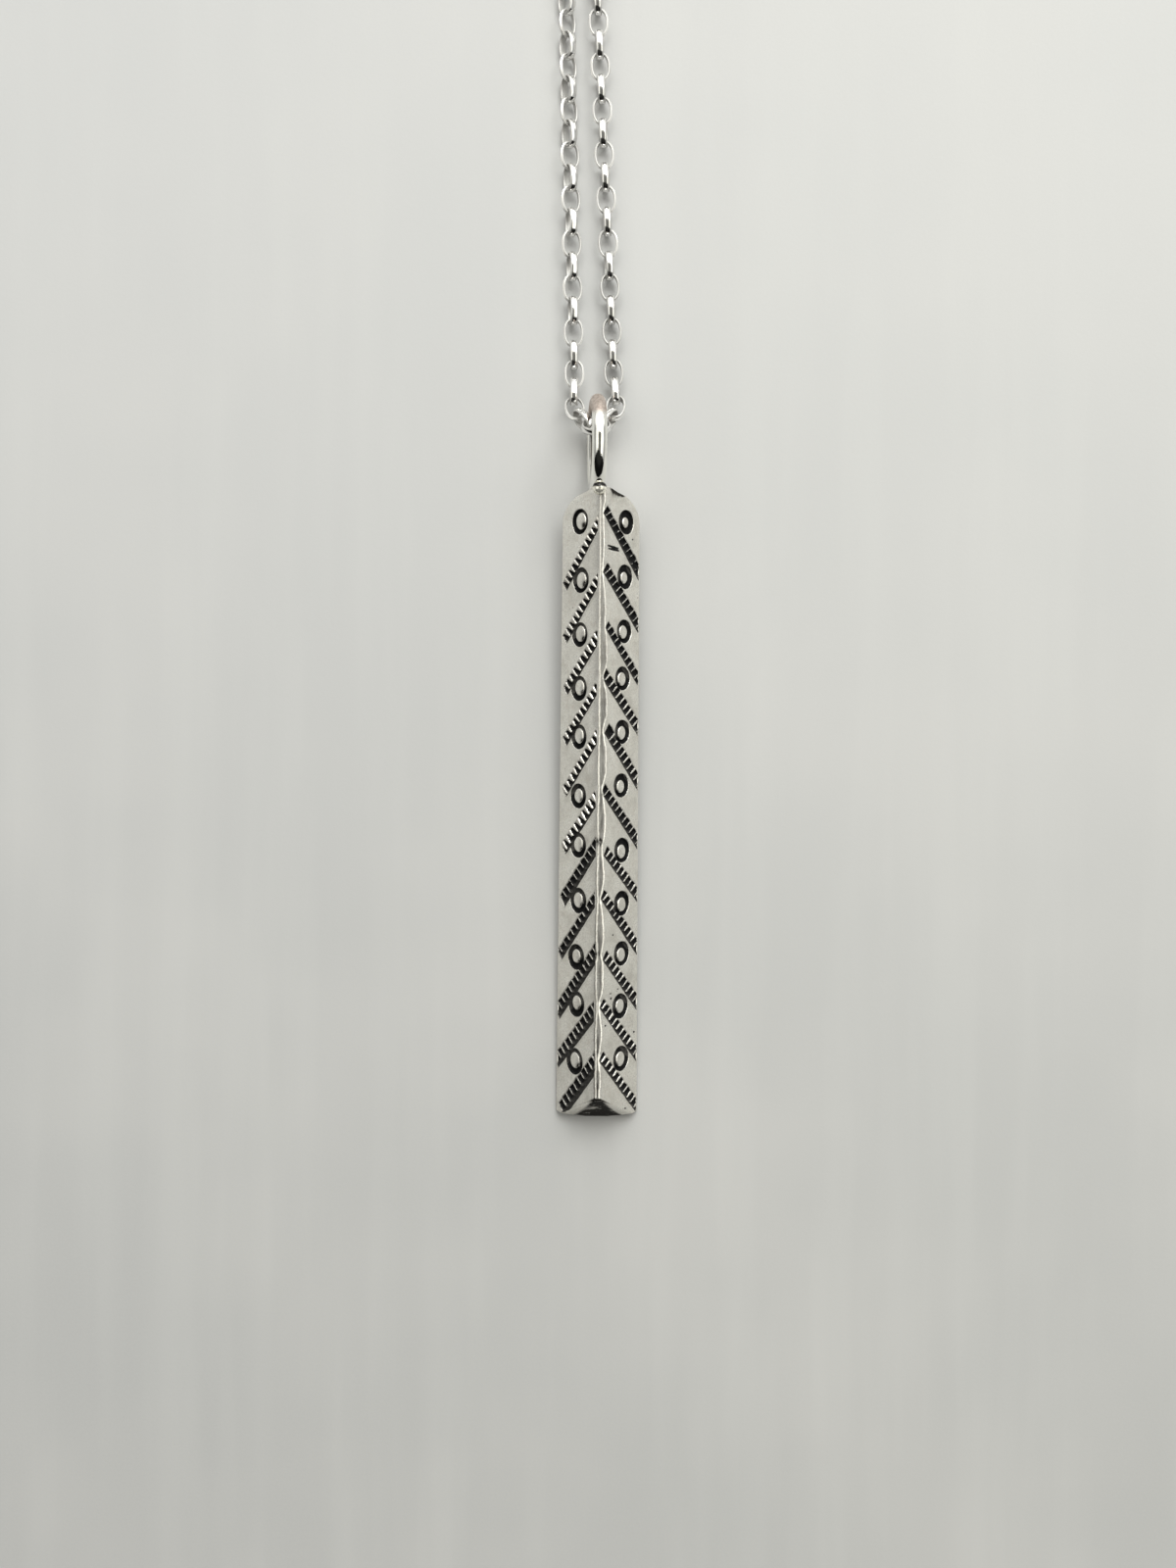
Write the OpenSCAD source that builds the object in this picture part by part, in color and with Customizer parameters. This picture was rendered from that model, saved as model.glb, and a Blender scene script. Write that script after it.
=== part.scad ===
// Long triangular bar pendant, stamped by hand, on an oval belcher chain.
// The necklace lies on a flat surface: the bar on its back, its ridge up,
// and the chain in one closed loop beyond it. Millimetres, Z up.
// It is laid out in a frame of its own: X across the bar, Y along it towards
// the chain, from the middle of the bar's lower edge. At the end the whole is
// shifted so that the origin is under the middle of its box.

/* [Bar] */
// Length of the triangular bar
bar_l = 50.8; // [40:0.1:60]
// Width of the bar's back at its lower end
low_w = 6.6; // [5.6:0.1:7.6]
// Width of the bar's back at the chain end
top_w = 6.2; // [5.4:0.1:7.2]
// Height from the back to the ridge at the lower end
bar_h = 4.2; // [3.6:0.1:5]
// Width of the narrow flat along the ridge
ridge_w = 0.5; // [0.3:0.05:0.9]
// Height of the blunt edge along both sides of the back
edge_h = 0.3; // [0.2:0.05:0.6]
// How far the lower end bulges in plan
low_bow = 0.55; // [0:0.05:1]
// Radius of the two corners at the chain end, in plan
corner_r = 1.5; // [0.8:0.1:2.2]
// Lean of the filed bevel on the lower end, from upright
bevel_deg = 28; // [10:1:40]

/* [Stamps] */
// Outer diameter of a round stamp
ring_stamp_d = 2.05; // [1.6:0.05:2.4]
// Width of a round stamp's line
ring_line_w = 0.42; // [0.3:0.02:0.6]
// Depth of the round stamps
ring_depth = 0.3; // [0.1:0.02:0.36]
// Number of teeth on the comb stamp
comb_teeth = 13; // [9:1:14]
// Distance from tooth to tooth
comb_pitch = 0.52; // [0.44:0.01:0.56]
// Width of one tooth
tooth_w = 0.32; // [0.2:0.01:0.38]
// Width across the comb stamp, from its edge line to the teeth's tips
comb_w = 1.12; // [0.8:0.02:1.4]
// Width of the comb's edge line
comb_line_w = 0.22; // [0.14:0.02:0.4]
// Depth of the comb stamps
comb_depth = 0.25; // [0.1:0.02:0.34]

/* [Bail ring] */
// Outer diameter of the ring that the chain runs through
bail_d = 8; // [7.4:0.1:9]
// Diameter of its wire
bail_wire_d = 1.2; // [0.9:0.05:1.4]
// Height above the bar's back at which the ring is soldered on
bail_h = 2; // [1.6:0.1:2.6]
// How far the ring sits to one side of the bar's middle
bail_x = -0.4; // [-0.8:0.1:0.8]
// Roll of the ring about the bar's length
bail_roll = 3.5; // [-5:0.5:5]
// Diameter of the small solder bead on the ridge's end
bead_d = 1; // [0.7:0.05:1.3]

/* [Chain] */
// Length of one link over its ends
link_l = 2.4; // [2.38:0.01:2.5]
// Width of one link
link_w = 1.65; // [1.6:0.01:1.8]
// Width of the flat band that a link is bent from
band_w = 0.62; // [0.5:0.01:0.66]
// Thickness of the band
band_t = 0.2; // [0.16:0.01:0.22]
// Distance from link to link along the strands
link_pitch = 1.8; // [1.76:0.01:1.82]
// Angle at which the two strands open out where they leave the straight run
flare_deg = 68.6; // [66:0.1:71]
// Lean of the loop towards the left
loop_lean = 2.3; // [0:0.1:6]
// Roll of the links in the left strand
left_roll = 40; // [0:5:45]

/* [Clasp] */
// Diameter of the clasp's ring, from middle to middle of its wire
clasp_d = 4.2; // [3.8:0.1:5]
// Diameter of the clasp's wire
clasp_wire_d = 0.9; // [0.7:0.05:0.9]
// Diameter of its small fixed eye, from middle to middle of the wire
eye_d = 1.9; // [1.8:0.1:2.6]
// Diameter of the eye's wire
eye_wire_d = 0.6; // [0.4:0.05:0.7]

/* [Hidden] */
far = 20;
silver = [0.76, 0.76, 0.74];
bright_silver = [0.84, 0.84, 0.82];

// The stamps, one row for each chevron, from the chain end down. A comb stamp
// is a line that leaves the ridge at its place along the bar, at its angle to
// the bar. A round stamp lies at a place along and down the sloped face.
// Columns: comb along, comb angle, round along, round down (left face),
// then the same four for the right face.
STAMPS = [
  [47.4, 42, 48.3, 2.4, 48.6, 43, 48.4, 2.8],
  [43.1, 42, 43.7, 2.3, 44.1, 45, 44.0, 2.7],
  [38.3, 46, 39.3, 2.3, 39.8, 46, 39.6, 2.7],
  [34.2, 45, 35.0, 2.3, 35.4, 48, 35.8, 2.5],
  [30.3, 44, 31.1, 2.3, 31.3, 45, 31.5, 2.5],
  [26.1, 41, 26.3, 2.4, 26.6, 46, 27.2, 2.5],
  [21.3, 45, 22.4, 2.4, 21.6, 50, 22.0, 2.7],
  [17.3, 43, 17.9, 2.3, 17.8, 47, 17.7, 2.7],
  [13.0, 43, 13.3, 2.5, 13.4, 45, 13.7, 2.7],
  [8.6, 45, 9.6, 2.5, 9.1, 47, 9.4, 2.6],
  [4.5, 42, 4.9, 2.6, 4.9, 48, 5.1, 2.8]
];

// The bar's sloped faces are flat, so its ridge comes down with its width.
slope = (bar_h - edge_h) / ((low_w - ridge_w) / 2);
top_h = edge_h + slope * (top_w - ridge_w) / 2;

// The ring stands on the surface and lifts the bar's chain end with it.
bail_r = bail_d / 2;
bail_mid_r = (bail_d - bail_wire_d) / 2;
bail_sink = 0.25;
bail_y = bar_l + bail_r - bail_sink;
bail_drop = bail_mid_r * cos(bail_roll) + bail_wire_d / 2;
tilt = asin(bail_drop / norm([bail_y, bail_h])) - atan(bail_h / bail_y);
bail_mid = [bail_x, bail_y * cos(tilt) - bail_h * sin(tilt), bail_drop];

// A link's hole, and the pins about which two links turn: the middles of the
// upright link's two ends.
link_side = link_l - link_w;
hole_l = link_l - 2 * band_t;
hole_w = link_w - 2 * band_t;
hole_flat = band_w + 0.1;
pin_span = link_l - band_t;

// Places in the loop are across and along its own middle line from the ring's
// middle, with a height. The first link lies in the ring, between its two
// pins. From there each side comes down to the surface in four links. The
// first three are given their turn away from the middle line and their fall,
// and the fourth ends level with the links that lie on the surface.
ring_pin = [0.42, 1.58, 3.14];
right_fall = [[40, 36], [10, 28], [-3, 15]];
left_fall = [[40, 33], [10, 28], [-3, 16]];
near_span = 0.94;

// Then a strand runs nearly straight to where it opens out, turns outward in
// an arc, and comes round in a wide arc to the clasp.
out_x = 1.25;
out_y = 37;
converge = 0.65;
flare_r = 30;
clasp_mid_h = link_w / 2;
clasp_half = (clasp_d / 2 + clasp_gap() + eye_d / 2) / 2;
last_x = clasp_half + link_l / 2 - band_t - 0.16 - clasp_wire_d / 2;
arc_x = out_x + flare_r * (cos(converge) - cos(flare_deg));
wide_r = (arc_x - last_x) / cos(flare_deg);
flare_l = flare_r * (flare_deg + converge) * PI / 180;
wide_l = wide_r * (90 + flare_deg) * PI / 180;

// The move that brings the origin under the middle of the whole box.
wide_y = out_y + flare_r * (sin(flare_deg) + sin(converge)) + wide_r * sin(flare_deg);
mid_x = loop_x(0, wide_y);
far_y = loop_y(clasp_d / 2 - clasp_half, wide_y + wide_r) + (clasp_d + clasp_wire_d) / 2;

function unit(v) = v / norm(v);

// Distance from the clasp ring's middle to its eye's middle.
function clasp_gap() = clasp_d / 2 + clasp_wire_d / 2 + eye_d / 2 + eye_wire_d / 2 - 0.3;

// A place in the loop's own frame, in the working frame.
function loop_x(across, along) = bail_x + across * cos(loop_lean) - along * sin(loop_lean);
function loop_y(across, along) = bail_mid.y + across * sin(loop_lean) + along * cos(loop_lean);
function loop_point(p) = [loop_x(p.x, p.y), loop_y(p.x, p.y), p.z];

// The pins at the ring: the place of the one after a number of links.
function heading(turn, fall) = [sin(turn) * cos(fall), cos(turn) * cos(fall), -sin(fall)];
function pin(fall, i) =
  i == 0 ? ring_pin
  : i < 4 ? pin(fall, i - 1) + (i == 2 ? near_span : pin_span) * heading(fall[i - 1][0], fall[i - 1][1])
  : let (p = pin(fall, 3)) p + near_span * heading(-1, asin((p.z - link_w / 2) / near_span));

// Length of a strand from its first pin to its last link's middle, and how
// its links share it. The first and the last link stand on edge.
function run_l(start) = norm([start.x - out_x, start.y - out_y]);
function strand_l(start) = run_l(start) + flare_l + wide_l - pin_span / 2;
function free_steps(start) = 2 * round(strand_l(start) / link_pitch / 2);

// Across, along and heading of a strand, at a length after its first pin.
function route(start, s) =
  let (run = run_l(start))
  s < run ? [
    start.x + s / run * (out_x - start.x),
    start.y + s / run * (out_y - start.y),
    atan((out_x - start.x) / (out_y - start.y))
  ]
  : s < run + flare_l ? flare_at((s - run) / flare_r * 180 / PI - converge)
  : wide_at(flare_deg - (s - run - flare_l) / wide_r * 180 / PI);
function flare_at(h) = [
  out_x + flare_r * (cos(converge) - cos(h)),
  out_y + flare_r * (sin(h) + sin(converge)),
  h
];
function wide_at(h) = [last_x + wide_r * cos(h), wide_y - wide_r * sin(h), h];

// Roll of a link after a part t of its strand, and the height at which links
// that are rolled so rest on the surface.
function roll_at(side, t) = side > 0 ? 0 : left_roll * min(1, 8 * t, 8 - 8 * t);
function rest_h(roll) = link_w / 2 * cos(roll) + band_w / 2 * sin(roll);

// From the working frame to the one whose origin is under the whole.
module set_down() {
  translate([-mid_x, -far_y / 2, 0]) children();
}

// A rigid move to a place, with X along a direction and Z as near up as it
// can be, and a roll about X.
module place(at, along, up, roll) {
  x = unit(along);
  z = unit(up - (up * x) * x);
  y = cross(z, x);
  multmatrix([
    [x.x, y.x, z.x, at.x],
    [x.y, y.y, z.y, at.y],
    [x.z, y.z, z.z, at.z],
    [0, 0, 0, 1]
  ])
    rotate([roll, 0, 0]) children();
}

// Bar

// Plan of the bar: a bowed lower end, straight sides, two rounded corners.
module bar_plan() {
  low = [for (t = [-1:0.25:1]) [t * low_w / 2, low_bow * t * t]];
  right = [for (a = [0:22.5:90])
    [top_w / 2 - corner_r + corner_r * cos(a), bar_l - corner_r + corner_r * sin(a)]];
  left = [for (a = [90:22.5:180])
    [corner_r - top_w / 2 + corner_r * cos(a), bar_l - corner_r + corner_r * sin(a)]];
  polygon(concat(low, right, left));
}

// The right sloped face as a drawing board: X down the slope from the ridge,
// Y along the ridge, Z out of the metal.
module on_right_face() {
  ridge = unit([0, bar_l, top_h - bar_h]);
  out = unit(cross([1, 0, -slope], ridge));
  down = cross(ridge, out);
  multmatrix([
    [down.x, ridge.x, out.x, ridge_w / 2],
    [down.y, ridge.y, out.y, 0],
    [down.z, ridge.z, out.z, bar_h],
    [0, 0, 0, 1]
  ])
    children();
}

module on_face(left) {
  mirror([left ? 1 : 0, 0, 0]) on_right_face() children();
}

module bar_blank() {
  difference() {
    linear_extrude(height = bar_h) bar_plan();
    for (left = [false, true])
      on_face(left) translate([-far, -far, 0]) cube([2 * far, bar_l + 2 * far, far]);
    translate([-far, 0, bar_h])
      rotate([-atan((bar_h - top_h) / bar_l), 0, 0])
        translate([0, -far, 0]) cube([2 * far, bar_l + 2 * far, far]);
    rotate([-bevel_deg, 0, 0]) translate([-far, -far, -far]) cube([2 * far, far, 2 * far]);
  }
}

// A comb stamp's outline: its edge line along X, its teeth towards +Y.
module comb_shape() {
  comb_l = (comb_teeth - 1) * comb_pitch + tooth_w;
  polygon(concat(
    [[0, 0], [comb_l, 0]],
    [for (i = [comb_teeth - 1:-1:0], corner = [0:3])
      [i * comb_pitch + (corner < 2 ? tooth_w : 0),
       corner == 0 || corner == 3 ? comb_line_w : comb_w]]
  ));
}

module comb_stamp(along, angle) {
  translate([0, along, -comb_depth])
    rotate([0, 0, angle - 90])
      linear_extrude(height = far) comb_shape();
}

module round_stamp(along, down) {
  translate([down, along, -ring_depth]) difference() {
    cylinder(d = ring_stamp_d, h = far);
    translate([0, 0, -1]) cylinder(d = ring_stamp_d - 2 * ring_line_w, h = far + 2);
  }
}

module stamps(left) {
  first = left ? 0 : 4;
  on_face(left) for (row = STAMPS) {
    comb_stamp(row[first], row[first + 1]);
    round_stamp(row[first + 2], row[first + 3]);
  }
}

// The bail ring stands on edge in line with the bar, at its chain end.
module bail_ring() {
  translate([bail_x, bail_y, bail_h])
    rotate([0, bail_roll, 0])
      rotate([0, 90, 0])
        rotate_extrude() translate([bail_mid_r, 0]) circle(d = bail_wire_d);
}

// Bar, ring and bead are soldered together, so they are one piece.
module pendant() {
  color(silver) set_down() rotate([tilt, 0, 0]) {
    difference() {
      bar_blank();
      stamps(true);
      stamps(false);
    }
    bail_ring();
    translate([bail_x / 2, bar_l + bead_d / 8, top_h + bead_d / 8]) sphere(d = bead_d, $fn = 32);
  }
}

// Chain

// Half of a link's outer outline, and half of its hole, towards +X. The hole
// ends in a flat, so that the next link's band lies square in it.
outer_end = [for (a = [-90:30:90]) [link_side / 2 + link_w / 2 * cos(a), link_w / 2 * sin(a)]];
hole_end = [
  [hole_l / 2 - hole_w / 2 + hole_flat / 2, -hole_w / 2],
  [hole_l / 2, -hole_flat / 2],
  [hole_l / 2, hole_flat / 2],
  [hole_l / 2 - hole_w / 2 + hole_flat / 2, hole_w / 2]
];
function closed(end) = concat(end, [for (p = end) -p]);

// One oval link, bent from flat band, lying flat with its length along X.
module link_piece() {
  outer = closed(outer_end);
  hole = closed(hole_end);
  n = len(outer);
  translate([0, 0, -band_w / 2]) linear_extrude(height = band_w)
    polygon(concat(outer, hole), [[for (i = [0:n - 1]) i], [for (i = [0:len(hole) - 1]) n + i]]);
}

// The four links on one side between the ring and the surface.
module ring_links(side, fall) {
  for (i = [0:3])
    let (a = pin(fall, i), b = pin(fall, i + 1), p = loop_point([side * a.x, a.y, a.z]),
         q = loop_point([side * b.x, b.y, b.z]), lean = atan2(a.z - b.z, b.y - a.y))
      place((p + q) / 2, q - p, [0, sin(lean), cos(lean)], i % 2 == 0 ? 90 : 0) link_piece();
}

// The links of one side that lie on the surface.
module strand(side, fall) {
  start = pin(fall, 4);
  steps = free_steps(start);
  for (i = [0:steps])
    let (at = route(start, pin_span / 2 + i * strand_l(start) / steps), roll = roll_at(side, i / steps),
         p = loop_point([side * at.x, at.y, rest_h(roll)]),
         q = loop_point([side * (at.x + sin(at[2])), at.y + cos(at[2]), rest_h(roll)]))
      place(p, q - p, [0, 0, 1], roll + (i % 2 == 0 ? 90 : 0)) link_piece();
}

module chain() {
  color(bright_silver) set_down() {
    place(loop_point([0, ring_pin.y, ring_pin.z]), [1, 0, 0], [0, sin(42), cos(42)], 0) link_piece();
    ring_links(1, right_fall);
    ring_links(-1, left_fall);
    strand(1, right_fall);
    strand(-1, left_fall);
  }
}

// Clasp

// A plain closed ring with a small fixed eye, lying flat at the loop's far end.
module clasp() {
  color(silver) set_down()
    translate(loop_point([0, wide_y + wide_r, clasp_mid_h]))
      rotate([0, 0, loop_lean]) {
        translate([clasp_d / 2 - clasp_half, 0, 0])
          rotate_extrude() translate([clasp_d / 2, 0]) circle(d = clasp_wire_d);
        translate([clasp_d / 2 - clasp_half + clasp_gap(), 0, 0])
          rotate_extrude() translate([eye_d / 2, 0]) circle(d = eye_wire_d);
      }
}

pendant();
chain();
clasp();
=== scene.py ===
import math

import bpy
import numpy as np
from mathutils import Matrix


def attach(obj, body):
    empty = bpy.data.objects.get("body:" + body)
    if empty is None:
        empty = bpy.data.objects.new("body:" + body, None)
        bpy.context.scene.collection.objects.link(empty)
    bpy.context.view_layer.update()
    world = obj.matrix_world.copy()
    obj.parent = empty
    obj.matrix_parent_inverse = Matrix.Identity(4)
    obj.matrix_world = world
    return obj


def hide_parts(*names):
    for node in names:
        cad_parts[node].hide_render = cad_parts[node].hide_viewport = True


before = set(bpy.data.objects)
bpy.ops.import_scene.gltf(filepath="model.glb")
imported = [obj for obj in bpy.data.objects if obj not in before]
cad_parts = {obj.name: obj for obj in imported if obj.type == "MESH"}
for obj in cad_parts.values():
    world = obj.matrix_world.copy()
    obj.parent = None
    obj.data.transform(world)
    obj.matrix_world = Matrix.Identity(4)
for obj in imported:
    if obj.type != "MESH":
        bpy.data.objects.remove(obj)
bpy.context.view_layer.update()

# The part's sizes, the same as in its source, in millimetres and degrees. X is
# across the bar, Y along it from its lower end, and Z up from its back.
BAR_L = 50.8  # length of the bar
LOW_W = 6.6  # width of its back at the lower end
TOP_W = 6.2  # width of its back at the chain end
BAR_H = 4.2  # height from the back to the ridge at the lower end
RIDGE_W = 0.5  # width of the narrow flat along the ridge
EDGE_H = 0.3  # height of the blunt edge along both sides of the back
LOW_BOW = 0.55  # how far the lower end bulges in plan
CORNER_R = 1.5  # radius of the two corners at the chain end
BEVEL = 28  # lean of the lower end from upright
BAIL_D = 8.0  # outer diameter of the bail ring
BAIL_WIRE = 1.2  # diameter of its wire
BAIL_UP = 2.0  # height above the back at which it is soldered on
BAIL_X = -0.4  # how far it sits to one side of the middle
BAIL_ROLL = 3.5  # its roll about the bar's length
BAIL_SINK = 0.25  # how far it sinks into the bar's end
LINK_L = 2.4  # length of one link over its ends
LINK_W = 1.65  # width of one link
BAND_W = 0.62  # width of the band that a link is bent from
BAND_T = 0.2  # thickness of the band
LINK_PITCH = 1.8  # distance from link to link along the strands
FLARE_DEG = 68.6  # angle at which the strands open out
LOOP_LEAN = 2.3  # lean of the loop towards the left
LEFT_ROLL = 40  # roll of the links in the left strand
CLASP_D = 4.2  # the clasp's ring, from middle to middle of its wire
CLASP_WIRE = 0.9  # diameter of that wire
EYE_D = 1.9  # the clasp's fixed eye, from middle to middle of its wire
EYE_WIRE = 0.6  # diameter of that wire
EYE_SINK = 0.3  # how far the two wires sink into each other
CLASP_GAP = 0.16  # gap between the clasp's wire and the last links
NEAR_SPAN = 0.94  # pin to pin of a lying link next to the ring
OUT_X, OUT_Y = 1.25, 37  # where a strand starts to open out, across and along
CONVERGE = 0.65  # angle at which they close in before that
FLARE_R = 30  # radius of the arc in which they open out

# A pin is the middle of a link's end, about which the next link turns. The first
# is in the ring, given across and along from the ring's middle, and up. The links
# that come down from it have a turn away from the middle line and a fall.
RING_PIN = np.array([0.42, 1.58, 3.14])
RIGHT_FALL = [(40, 36), (10, 28), (-3, 15)]
LEFT_FALL = [(40, 33), (10, 28), (-3, 16)]


def sin(degrees):
    return math.sin(math.radians(degrees))


def cos(degrees):
    return math.cos(math.radians(degrees))


def unit(v):
    return np.asarray(v, float) / np.linalg.norm(v)


# The sloped faces are flat, so the ridge comes down as the bar narrows.
SLOPE = (BAR_H - EDGE_H) / ((LOW_W - RIDGE_W) / 2)
TOP_H = EDGE_H + SLOPE * (TOP_W - RIDGE_W) / 2
FALL = (BAR_H - TOP_H) / BAR_L
DOWN_FACE = math.hypot(1, SLOPE)  # length down a sloped face for a length across
BEVEL_TAN = math.tan(math.radians(BEVEL))

# The ring stands on the surface and lifts the bar's chain end.
BAIL_R = (BAIL_D - BAIL_WIRE) / 2
BAIL_Y = BAR_L + BAIL_D / 2 - BAIL_SINK
BAIL_Z = BAIL_R * cos(BAIL_ROLL) + BAIL_WIRE / 2
TILT = math.degrees(math.asin(BAIL_Z / math.hypot(BAIL_Y, BAIL_UP)) - math.atan2(BAIL_UP, BAIL_Y))
LOOP_Y0 = BAIL_Y * cos(TILT) - BAIL_UP * sin(TILT)

# Each strand opens out in one arc and comes round in a wide one to the clasp.
PIN_SPAN = LINK_L - BAND_T
EYE_OFF = CLASP_D / 2 + CLASP_WIRE / 2 + EYE_D / 2 + EYE_WIRE / 2 - EYE_SINK
CLASP_HALF = (CLASP_D / 2 + EYE_OFF + EYE_D / 2) / 2
LAST_X = CLASP_HALF + LINK_L / 2 - BAND_T - CLASP_GAP - CLASP_WIRE / 2
ARC_X = OUT_X + FLARE_R * (cos(CONVERGE) - cos(FLARE_DEG))
WIDE_R = (ARC_X - LAST_X) / cos(FLARE_DEG)
FLARE_L = math.radians(FLARE_DEG + CONVERGE) * FLARE_R
WIDE_L = math.radians(90 + FLARE_DEG) * WIDE_R
WIDE_Y = OUT_Y + FLARE_R * (sin(FLARE_DEG) + sin(CONVERGE)) + WIDE_R * sin(FLARE_DEG)


def loop_point(across, along, up):
    """A place in the loop, from the ring's middle across and along its leaning middle line."""
    return np.array([BAIL_X + across * cos(LOOP_LEAN) - along * sin(LOOP_LEAN),
                     LOOP_Y0 + across * sin(LOOP_LEAN) + along * cos(LOOP_LEAN), up])


# The origin is under the middle of the whole.
MID_X = loop_point(0, WIDE_Y, 0)[0]
FAR_Y = loop_point(CLASP_D / 2 - CLASP_HALF, WIDE_Y + WIDE_R, 0)[1] + (CLASP_D + CLASP_WIRE) / 2
SHIFT = np.array([-MID_X, -FAR_Y / 2, 0])


def from_bar(places):
    """The bar's own frame, in millimetres, to the whole's frame, in metres."""
    p = np.asarray(places, float)
    y = p[:, 1] * cos(TILT) - p[:, 2] * sin(TILT)
    z = p[:, 1] * sin(TILT) + p[:, 2] * cos(TILT)
    return (np.column_stack([p[:, 0], y, z]) + SHIFT) / 1000


# Camera
CAM_X, CAM_Y, CAM_UP = -0.9, 27.29, 150.0  # millimetres from the bar's lower end
CAM_TURN = 0.45  # degrees
SENSOR, FOCAL_PX, PHOTO_W_PX = 36, 1863, 1200


def camera():
    """Straight above, as the photo was taken."""
    data = bpy.data.cameras.new("camera")
    data.sensor_fit = "HORIZONTAL"
    data.sensor_width = SENSOR
    data.lens = SENSOR * FOCAL_PX / PHOTO_W_PX
    data.clip_start = 0.005
    data.clip_end = 20
    cam = bpy.data.objects.new("camera", data)
    bpy.context.scene.collection.objects.link(cam)
    cam.location = (np.array([CAM_X, CAM_Y, CAM_UP]) + SHIFT) / 1000
    cam.rotation_euler = (0, 0, math.radians(CAM_TURN))
    bpy.context.scene.camera = cam
    bpy.context.scene.view_settings.view_transform = "Standard"


camera()


# Materials
PER_MM = (1000, 1000, 1000)


class Nodes:
    """Short ways to add nodes to a material or a world."""

    def __init__(self, tree):
        self.tree = tree
        tree.nodes.clear()

    def add(self, kind, inputs=None, **values):
        node = self.tree.nodes.new(kind)
        for name, value in values.items():
            setattr(node, name, value)
        for key, value in (inputs or {}).items():
            self.put(node.inputs[key], value)
        return node

    def put(self, socket, value):
        """Link another node's socket, or set a constant."""
        if isinstance(value, bpy.types.NodeSocket):
            self.tree.links.new(value, socket)
        else:
            socket.default_value = value

    def math(self, operation, a, b=0.0):
        node = self.add("ShaderNodeMath", operation=operation)
        self.put(node.inputs[0], a)
        self.put(node.inputs[1], b)
        return node.outputs[0]

    def plus(self, a, b):
        return self.math("ADD", a, b)

    def times(self, a, b):
        return self.math("MULTIPLY", a, b)

    def ramp(self, value, stops):
        """Colours at places from 0 to 1."""
        node = self.add("ShaderNodeValToRGB")
        self.put(node.inputs[0], value)
        elements = node.color_ramp.elements
        while len(elements) < len(stops):
            elements.new(1)
        for element, (place, colour) in zip(elements, stops):
            element.position = place
            element.color = (*colour, 1)
        return node.outputs[0]

    def span(self, value, start, end, low=0.0, high=1.0):
        """A soft step from low at start to high at end."""
        node = self.add("ShaderNodeMapRange", interpolation_type="SMOOTHSTEP")
        for key, x in enumerate((value, start, end, low, high)):
            self.put(node.inputs[key], x)
        return node.outputs[0]

    def mix(self, share, a, b, blend="MIX"):
        node = self.add("ShaderNodeMix", data_type="RGBA", blend_type=blend)
        for key, value in ((0, share), (6, a), (7, b)):
            self.put(node.inputs[key], (*value, 1) if isinstance(value, tuple) else value)
        return node.outputs[2]

    def axes(self):
        """The object's own coordinates one by one, in metres."""
        place = self.add("ShaderNodeTexCoord").outputs["Object"]
        return self.add("ShaderNodeSeparateXYZ", {"Vector": place}).outputs

    def place(self, scale=PER_MM, turn=(0, 0, 0)):
        """The object's own coordinates, turned and scaled per metre."""
        place = self.add("ShaderNodeTexCoord").outputs["Object"]
        node = self.add("ShaderNodeMapping", {"Vector": place})
        node.inputs["Scale"].default_value = scale
        node.inputs["Rotation"].default_value = tuple(math.radians(a) for a in turn)
        return node.outputs[0]

    def noise(self, place, scale, detail=3, rough=0.55):
        return self.add("ShaderNodeTexNoise", {"Vector": place, "Scale": scale, "Detail": detail,
                                               "Roughness": rough}).outputs[0]

    def bump(self, height, strength, distance):
        return self.add("ShaderNodeBump", {"Height": height, "Strength": strength,
                                           "Distance": distance}).outputs[0]

    def marks_and_painted_light(self):
        """The marks kept with the mesh's vertices: dark marks and grime, with painted shade, painted
        reflection and painted light.
        """
        return self.add("ShaderNodeAttribute", attribute_name="marks_and_painted_light").outputs["Fac"]

    def finish(self, **inputs):
        """The surface, with its inputs named as in Blender but for the underscores."""
        shader = self.add("ShaderNodeBsdfPrincipled")
        for name, value in inputs.items():
            colour = isinstance(value, tuple) and len(value) == 3
            self.put(shader.inputs[name.replace("_", " ")], (*value, 1) if colour else value)
        self.tree.links.new(shader.outputs[0], self.add("ShaderNodeOutputMaterial").inputs[0])


def material(name):
    m = bpy.data.materials.new(name)
    m.use_nodes = True
    return m, Nodes(m.node_tree)


def ragged_marks(n, place):
    """The mesh's marks broken up: in streaks along the bar where faint, in patches where heavy."""
    marks_and_painted_light = n.marks_and_painted_light()
    streaks = n.span(n.noise(n.place((5000, 450, 5000)), 1.0, 3, 0.6), 0.35, 0.65, 0.78, 1.08)
    patches = n.span(n.noise(place, 3.0, 4, 0.7), 0.3, 0.65, 0.35, 1.3)
    heavy = n.span(marks_and_painted_light, 0.85, 1.3)
    light = n.math("SUBTRACT", 1.0, heavy)
    ragged = n.plus(n.times(streaks, light), n.times(patches, heavy))
    return n.math("MINIMUM", n.times(marks_and_painted_light, ragged), 1.0)


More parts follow.
